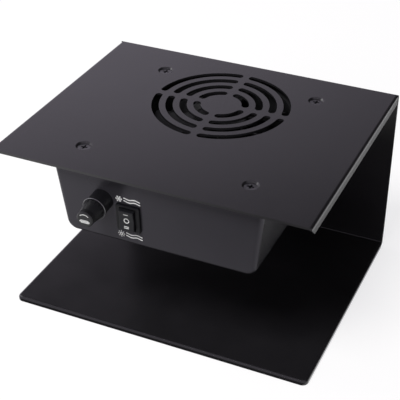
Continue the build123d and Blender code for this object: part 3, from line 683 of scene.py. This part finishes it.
# %% [markdown]
# Printed marks
#
# White marks are printed on the panel, the rocker and the fuse cap. A print is a skin of ink on
# whatever it lies on, so each mark is drawn flat in millimetres, laid over the part, and every
# point is dropped onto the surface with a ray. The ink then follows the rocker's hollow face too.
# It is sunk a little, so that no gap can show under it.

# %% Ink and the helper that lays a flat drawing on a part
INK_THICKNESS = 0.06 * MM
INK_SINK = 0.02 * MM
RAY_START = 50 * MM

white_ink = grained_finish(
    "white_ink", dark=(0.78, 0.78, 0.78), light=(0.86, 0.86, 0.86),
    roughness=(0.45, 0.6), grain_mm=0.5, patch_mm=3.0, depth_mm=0.004)


def surface_of(name):
    """A ray target made of a CAD node."""
    target = bmesh.new()
    target.from_mesh(nodes[name].data)
    tree = BVHTree.FromBMesh(target)
    target.free()
    return tree


def dropped(target, above):
    """The point of a surface that lies straight behind a point in front of the panel."""
    return target.ray_cast(above + panel_out * RAY_START, -panel_out)[0]


def print_on(bm, name, target, origin, body):
    """Lays a flat drawing, in millimetres across and up the panel, on a part as a skin of ink."""
    for vertex in bm.verts:
        place = origin + panel_across * vertex.co.x * MM + panel_up * vertex.co.y * MM
        vertex.co = dropped(target, place) + panel_out * (INK_THICKNESS - INK_SINK)
    bmesh.ops.recalc_face_normals(bm, faces=bm.faces)
    for face in bm.faces:
        if face.normal.dot(panel_out) < 0:
            face.normal_flip()
    bmesh.ops.solidify(bm, geom=bm.faces[:], thickness=INK_THICKNESS)
    bmesh.ops.recalc_face_normals(bm, faces=bm.faces)
    mesh = bpy.data.meshes.new(name)
    bm.to_mesh(mesh)
    bm.free()
    mesh.materials.append(white_ink)
    piece = bpy.data.objects.new(name, mesh)
    bpy.context.scene.collection.objects.link(piece)
    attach(piece, body)
    print(name, len(mesh.polygons), "faces")


print("ink", INK_THICKNESS / MM, "mm thick")

# %% [markdown]
# Strokes, rings and waves
#
# Every mark is put together from a few strokes. A stroke is one grid, stretched to its length, and a
# wavy one has more cells, whose points are lifted by a sine. A ring is a disc that is inset by the
# width of its line and then loses its middle.

# %% Small drawings that the marks are put together from
LINE = 0.72
RING_CORNERS = 32
WAVES = 1.5
WAVE_CELLS = 24
BARB_LEAN = math.radians(50)


def bar(bm, width, height, x=0.0, y=0.0, turn=0.0, cells=1):
    """A straight stroke, in cells so that it can be bent."""
    made = bmesh.ops.create_grid(bm, x_segments=cells, y_segments=1, size=0.5)
    place = Matrix.Translation((x, y, 0)) @ Matrix.Rotation(turn, 4, "Z")
    bmesh.ops.transform(bm, matrix=place @ Matrix.Diagonal((width, height, 1, 1)), verts=made["verts"])
    return made["verts"]


def ring(bm, radius, line, x=0.0):
    """A round outline: a disc, inset by the line's width, without its middle."""
    made = bmesh.ops.create_circle(bm, cap_ends=True, segments=RING_CORNERS, radius=radius)
    middle = made["verts"][0].link_faces[0]
    bmesh.ops.inset_individual(bm, faces=[middle], thickness=line)
    drawn = made["verts"] + list(middle.verts)
    bmesh.ops.delete(bm, geom=[middle], context="FACES_ONLY")
    bmesh.ops.translate(bm, vec=(x, 0, 0), verts=drawn)


def wave(bm, length, height, x, y):
    """A wavy stroke: a straight strip whose points are lifted by a sine."""
    verts = bar(bm, length, LINE, cells=WAVE_CELLS)
    for vertex in verts:
        vertex.co.y += height * math.sin(vertex.co.x / length * WAVES * 2 * math.pi)
    bmesh.ops.translate(bm, vec=(x, y, 0), verts=verts)


def spokes(bm, count, inner, outer, line, x):
    """Strokes around a middle, like rays or the arms of a snowflake."""
    for number in range(count):
        turn = number * 2 * math.pi / count
        reach = (inner + outer) / 2
        bar(bm, outer - inner, line, x + reach * math.cos(turn), reach * math.sin(turn), turn)


def arm_barbs(bm, count, reach, length, line, x):
    """The small side strokes on each arm of a snowflake."""
    for number in range(count):
        turn = number * 2 * math.pi / count
        for lean in (turn - BARB_LEAN, turn + BARB_LEAN):
            along = x + reach * math.cos(turn) + length / 2 * math.cos(lean)
            across = reach * math.sin(turn) + length / 2 * math.sin(lean)
            bar(bm, length, line, along, across, lean)


print("stroke width", LINE, "mm")

# %% [markdown]
# Cool and warm air
#
# A snowflake and a sun stand for cool and warm air, each with two wavy lines for the wind. One lies
# above the switch and one below it. The rocker's joint gives the middle of the switch, and a ray
# that passes above the switch finds how far out the panel is there.

# %% Cool air above the switch and warm air below it
MARK_X = -5.9
WIND_X = 2.5
WIND_LENGTH = 10.6
WIND_ROWS = (-0.95, 0.95)
WIND_HEIGHT = 0.38
MARK_RISE = 11.9
MARK_DROP = 13.3
ABOVE_SWITCH = 12 * MM

SNOW_ARMS = 6
SNOW_REACH, SNOW_LINE = 2.1, 0.54
BARB_PLACE, BARB_LENGTH, BARB_LINE = 1.26, 0.735, 0.36
SUN_RAYS = 8
SUN_DISC, SUN_LINE = 1.05, 0.54
SUN_INNER, SUN_OUTER, SUN_RAY_LINE = 1.47, 2.31, 0.504


def snowflake(bm):
    spokes(bm, SNOW_ARMS, 0.0, SNOW_REACH, SNOW_LINE, MARK_X)
    arm_barbs(bm, SNOW_ARMS, BARB_PLACE, BARB_LENGTH, BARB_LINE, MARK_X)


def sun(bm):
    ring(bm, SUN_DISC, SUN_LINE, MARK_X)
    spokes(bm, SUN_RAYS, SUN_INNER, SUN_OUTER, SUN_RAY_LINE, MARK_X)


panel = surface_of("housing")
pivot = Vector(joints["rocker_tilt"]["pos_m"])
panel_point = dropped(panel, pivot + panel_up * ABOVE_SWITCH)
switch_centre = pivot + panel_out * (panel_point - pivot).dot(panel_out)

for name, symbol, rise in (("cool_air_mark", snowflake, MARK_RISE), ("warm_air_mark", sun, -MARK_DROP)):
    bm = bmesh.new()
    symbol(bm)
    for row in WIND_ROWS:
        wave(bm, WIND_LENGTH, WIND_HEIGHT, WIND_X, row)
    print_on(bm, name, panel, switch_centre + panel_up * rise * MM, "body")

# %% [markdown]
# The rocker's three positions
#
# The rocker has one bar at the top, a ring for off in the middle and two bars at the bottom. These
# ride on the rocker, so they tilt with it.

# %% One bar, a ring and two bars on the rocker
ROCKER_MARK_STEP = 4.5
ROCKER_BAR = 3.0
TOP_LINE, LOW_LINE = 0.45, 0.5
LOW_ROWS = (-0.5, 0.5)
OFF_RADIUS, OFF_LINE = 1.75, 0.5

rocker_face = surface_of("rocker")
bm = bmesh.new()
ring(bm, OFF_RADIUS, OFF_LINE)
bar(bm, ROCKER_BAR, TOP_LINE, y=ROCKER_MARK_STEP)
for offset in LOW_ROWS:
    bar(bm, ROCKER_BAR, LOW_LINE, y=-ROCKER_MARK_STEP + offset)
print_on(bm, "rocker_marks", rocker_face, pivot, "rocker")

# %% [markdown]
# The sign on the fuse cap
#
# The usual sign for a fuse is a wire that runs through a box. Over it an arc follows the cap's edge.
# The marks ride on the cap, so they turn with it and come out with it.

# %% A fuse sign and an arc on the cap
FUSE_Y = -1.3
WIRE_LENGTH, WIRE_LINE = 6.6, 0.7
BOX_LENGTH, BOX_HALF, BOX_LINE = 4.6, 0.8, 0.5
ARC_RADIUS = 3.5
ARC_STROKES = 9
ARC_START, ARC_STEP = 48, 10.5
ARC_LENGTH, ARC_LINE = 0.72, 0.5

fuse_origin = Vector(joints["fuse_cap_turn"]["pos_m"])
cap_end = surface_of("fuse_cap")
bm = bmesh.new()
bar(bm, WIRE_LENGTH, WIRE_LINE, y=FUSE_Y)
for side in (1, -1):
    bar(bm, BOX_LENGTH, BOX_LINE, y=FUSE_Y + side * BOX_HALF)
for side in (-1, 1):
    bar(bm, BOX_LINE, 2 * BOX_HALF + BOX_LINE, x=side * BOX_LENGTH / 2, y=FUSE_Y)
for step in range(ARC_STROKES):
    turn = math.radians(ARC_START + step * ARC_STEP)
    bar(bm, ARC_LENGTH, ARC_LINE, ARC_RADIUS * math.cos(turn), ARC_RADIUS * math.sin(turn),
        turn + math.pi / 2)
print_on(bm, "fuse_cap_mark", cap_end, fuse_origin, "fuse_cap")

# %% [markdown]
# The bright rim of the fuse holder
#
# A thin grey bead lies on the collar of the fuse holder, where the cap sits down on it. Its light grey
# metal is painted highlight: it draws the bright line that the collar's rounded rim shows. It is a
# round bead, so it is spun: a small circle of the bead's section is carried once round the axis,
# and the two ends of the spin are merged.

# %% A spun bead at the collar's end
BEAD_RADIUS = 0.3 * MM
RING_RADIUS = 7.08 * MM
COLLAR_FACE = 6.3 * MM
BEAD_SEGMENTS = 12
RING_SEGMENTS = 96
MERGE_DISTANCE = 1e-7

# Painted highlight: a pale metal for the bright line on the collar's rim.
rim_highlight_metal = grained_finish(
    "rim_highlight_metal", dark=(0.16, 0.16, 0.165), light=(0.26, 0.26, 0.265),
    roughness=(0.3, 0.42), grain_mm=0.4, patch_mm=4.0, depth_mm=0.006,
    Metallic=1.0)
collar_point = dropped(surface_of("fuse_body"), fuse_origin + panel_up * COLLAR_FACE)
collar_end = fuse_origin + panel_out * (collar_point - fuse_origin).dot(panel_out)
bm = bmesh.new()
bead = bmesh.ops.create_circle(bm, segments=BEAD_SEGMENTS, radius=BEAD_RADIUS)
at_rim = Matrix.Translation((RING_RADIUS, 0, -BEAD_RADIUS)) @ Matrix.Rotation(math.pi / 2, 4, "X")
bmesh.ops.transform(bm, matrix=at_rim, verts=bead["verts"])
bmesh.ops.spin(bm, geom=bm.verts[:] + bm.edges[:], cent=(0, 0, 0), axis=(0, 0, 1), angle=2 * math.pi,
               steps=RING_SEGMENTS, use_merge=True)
bmesh.ops.remove_doubles(bm, verts=bm.verts, dist=MERGE_DISTANCE)
bmesh.ops.recalc_face_normals(bm, faces=bm.faces)
for face in bm.faces:
    face.smooth = True
axes = Matrix((panel_across, panel_up, panel_out)).transposed().to_4x4()
bmesh.ops.transform(bm, matrix=Matrix.Translation(collar_end) @ axes, verts=bm.verts)
bead_mesh = bpy.data.meshes.new("collar_highlight_bead")
bm.to_mesh(bead_mesh)
bm.free()
bead_mesh.materials.append(rim_highlight_metal)
collar_highlight_bead = bpy.data.objects.new("collar_highlight_bead", bead_mesh)
bpy.context.scene.collection.objects.link(collar_highlight_bead)
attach(collar_highlight_bead, "body")
print("bead at", [round(v, 4) for v in collar_end])
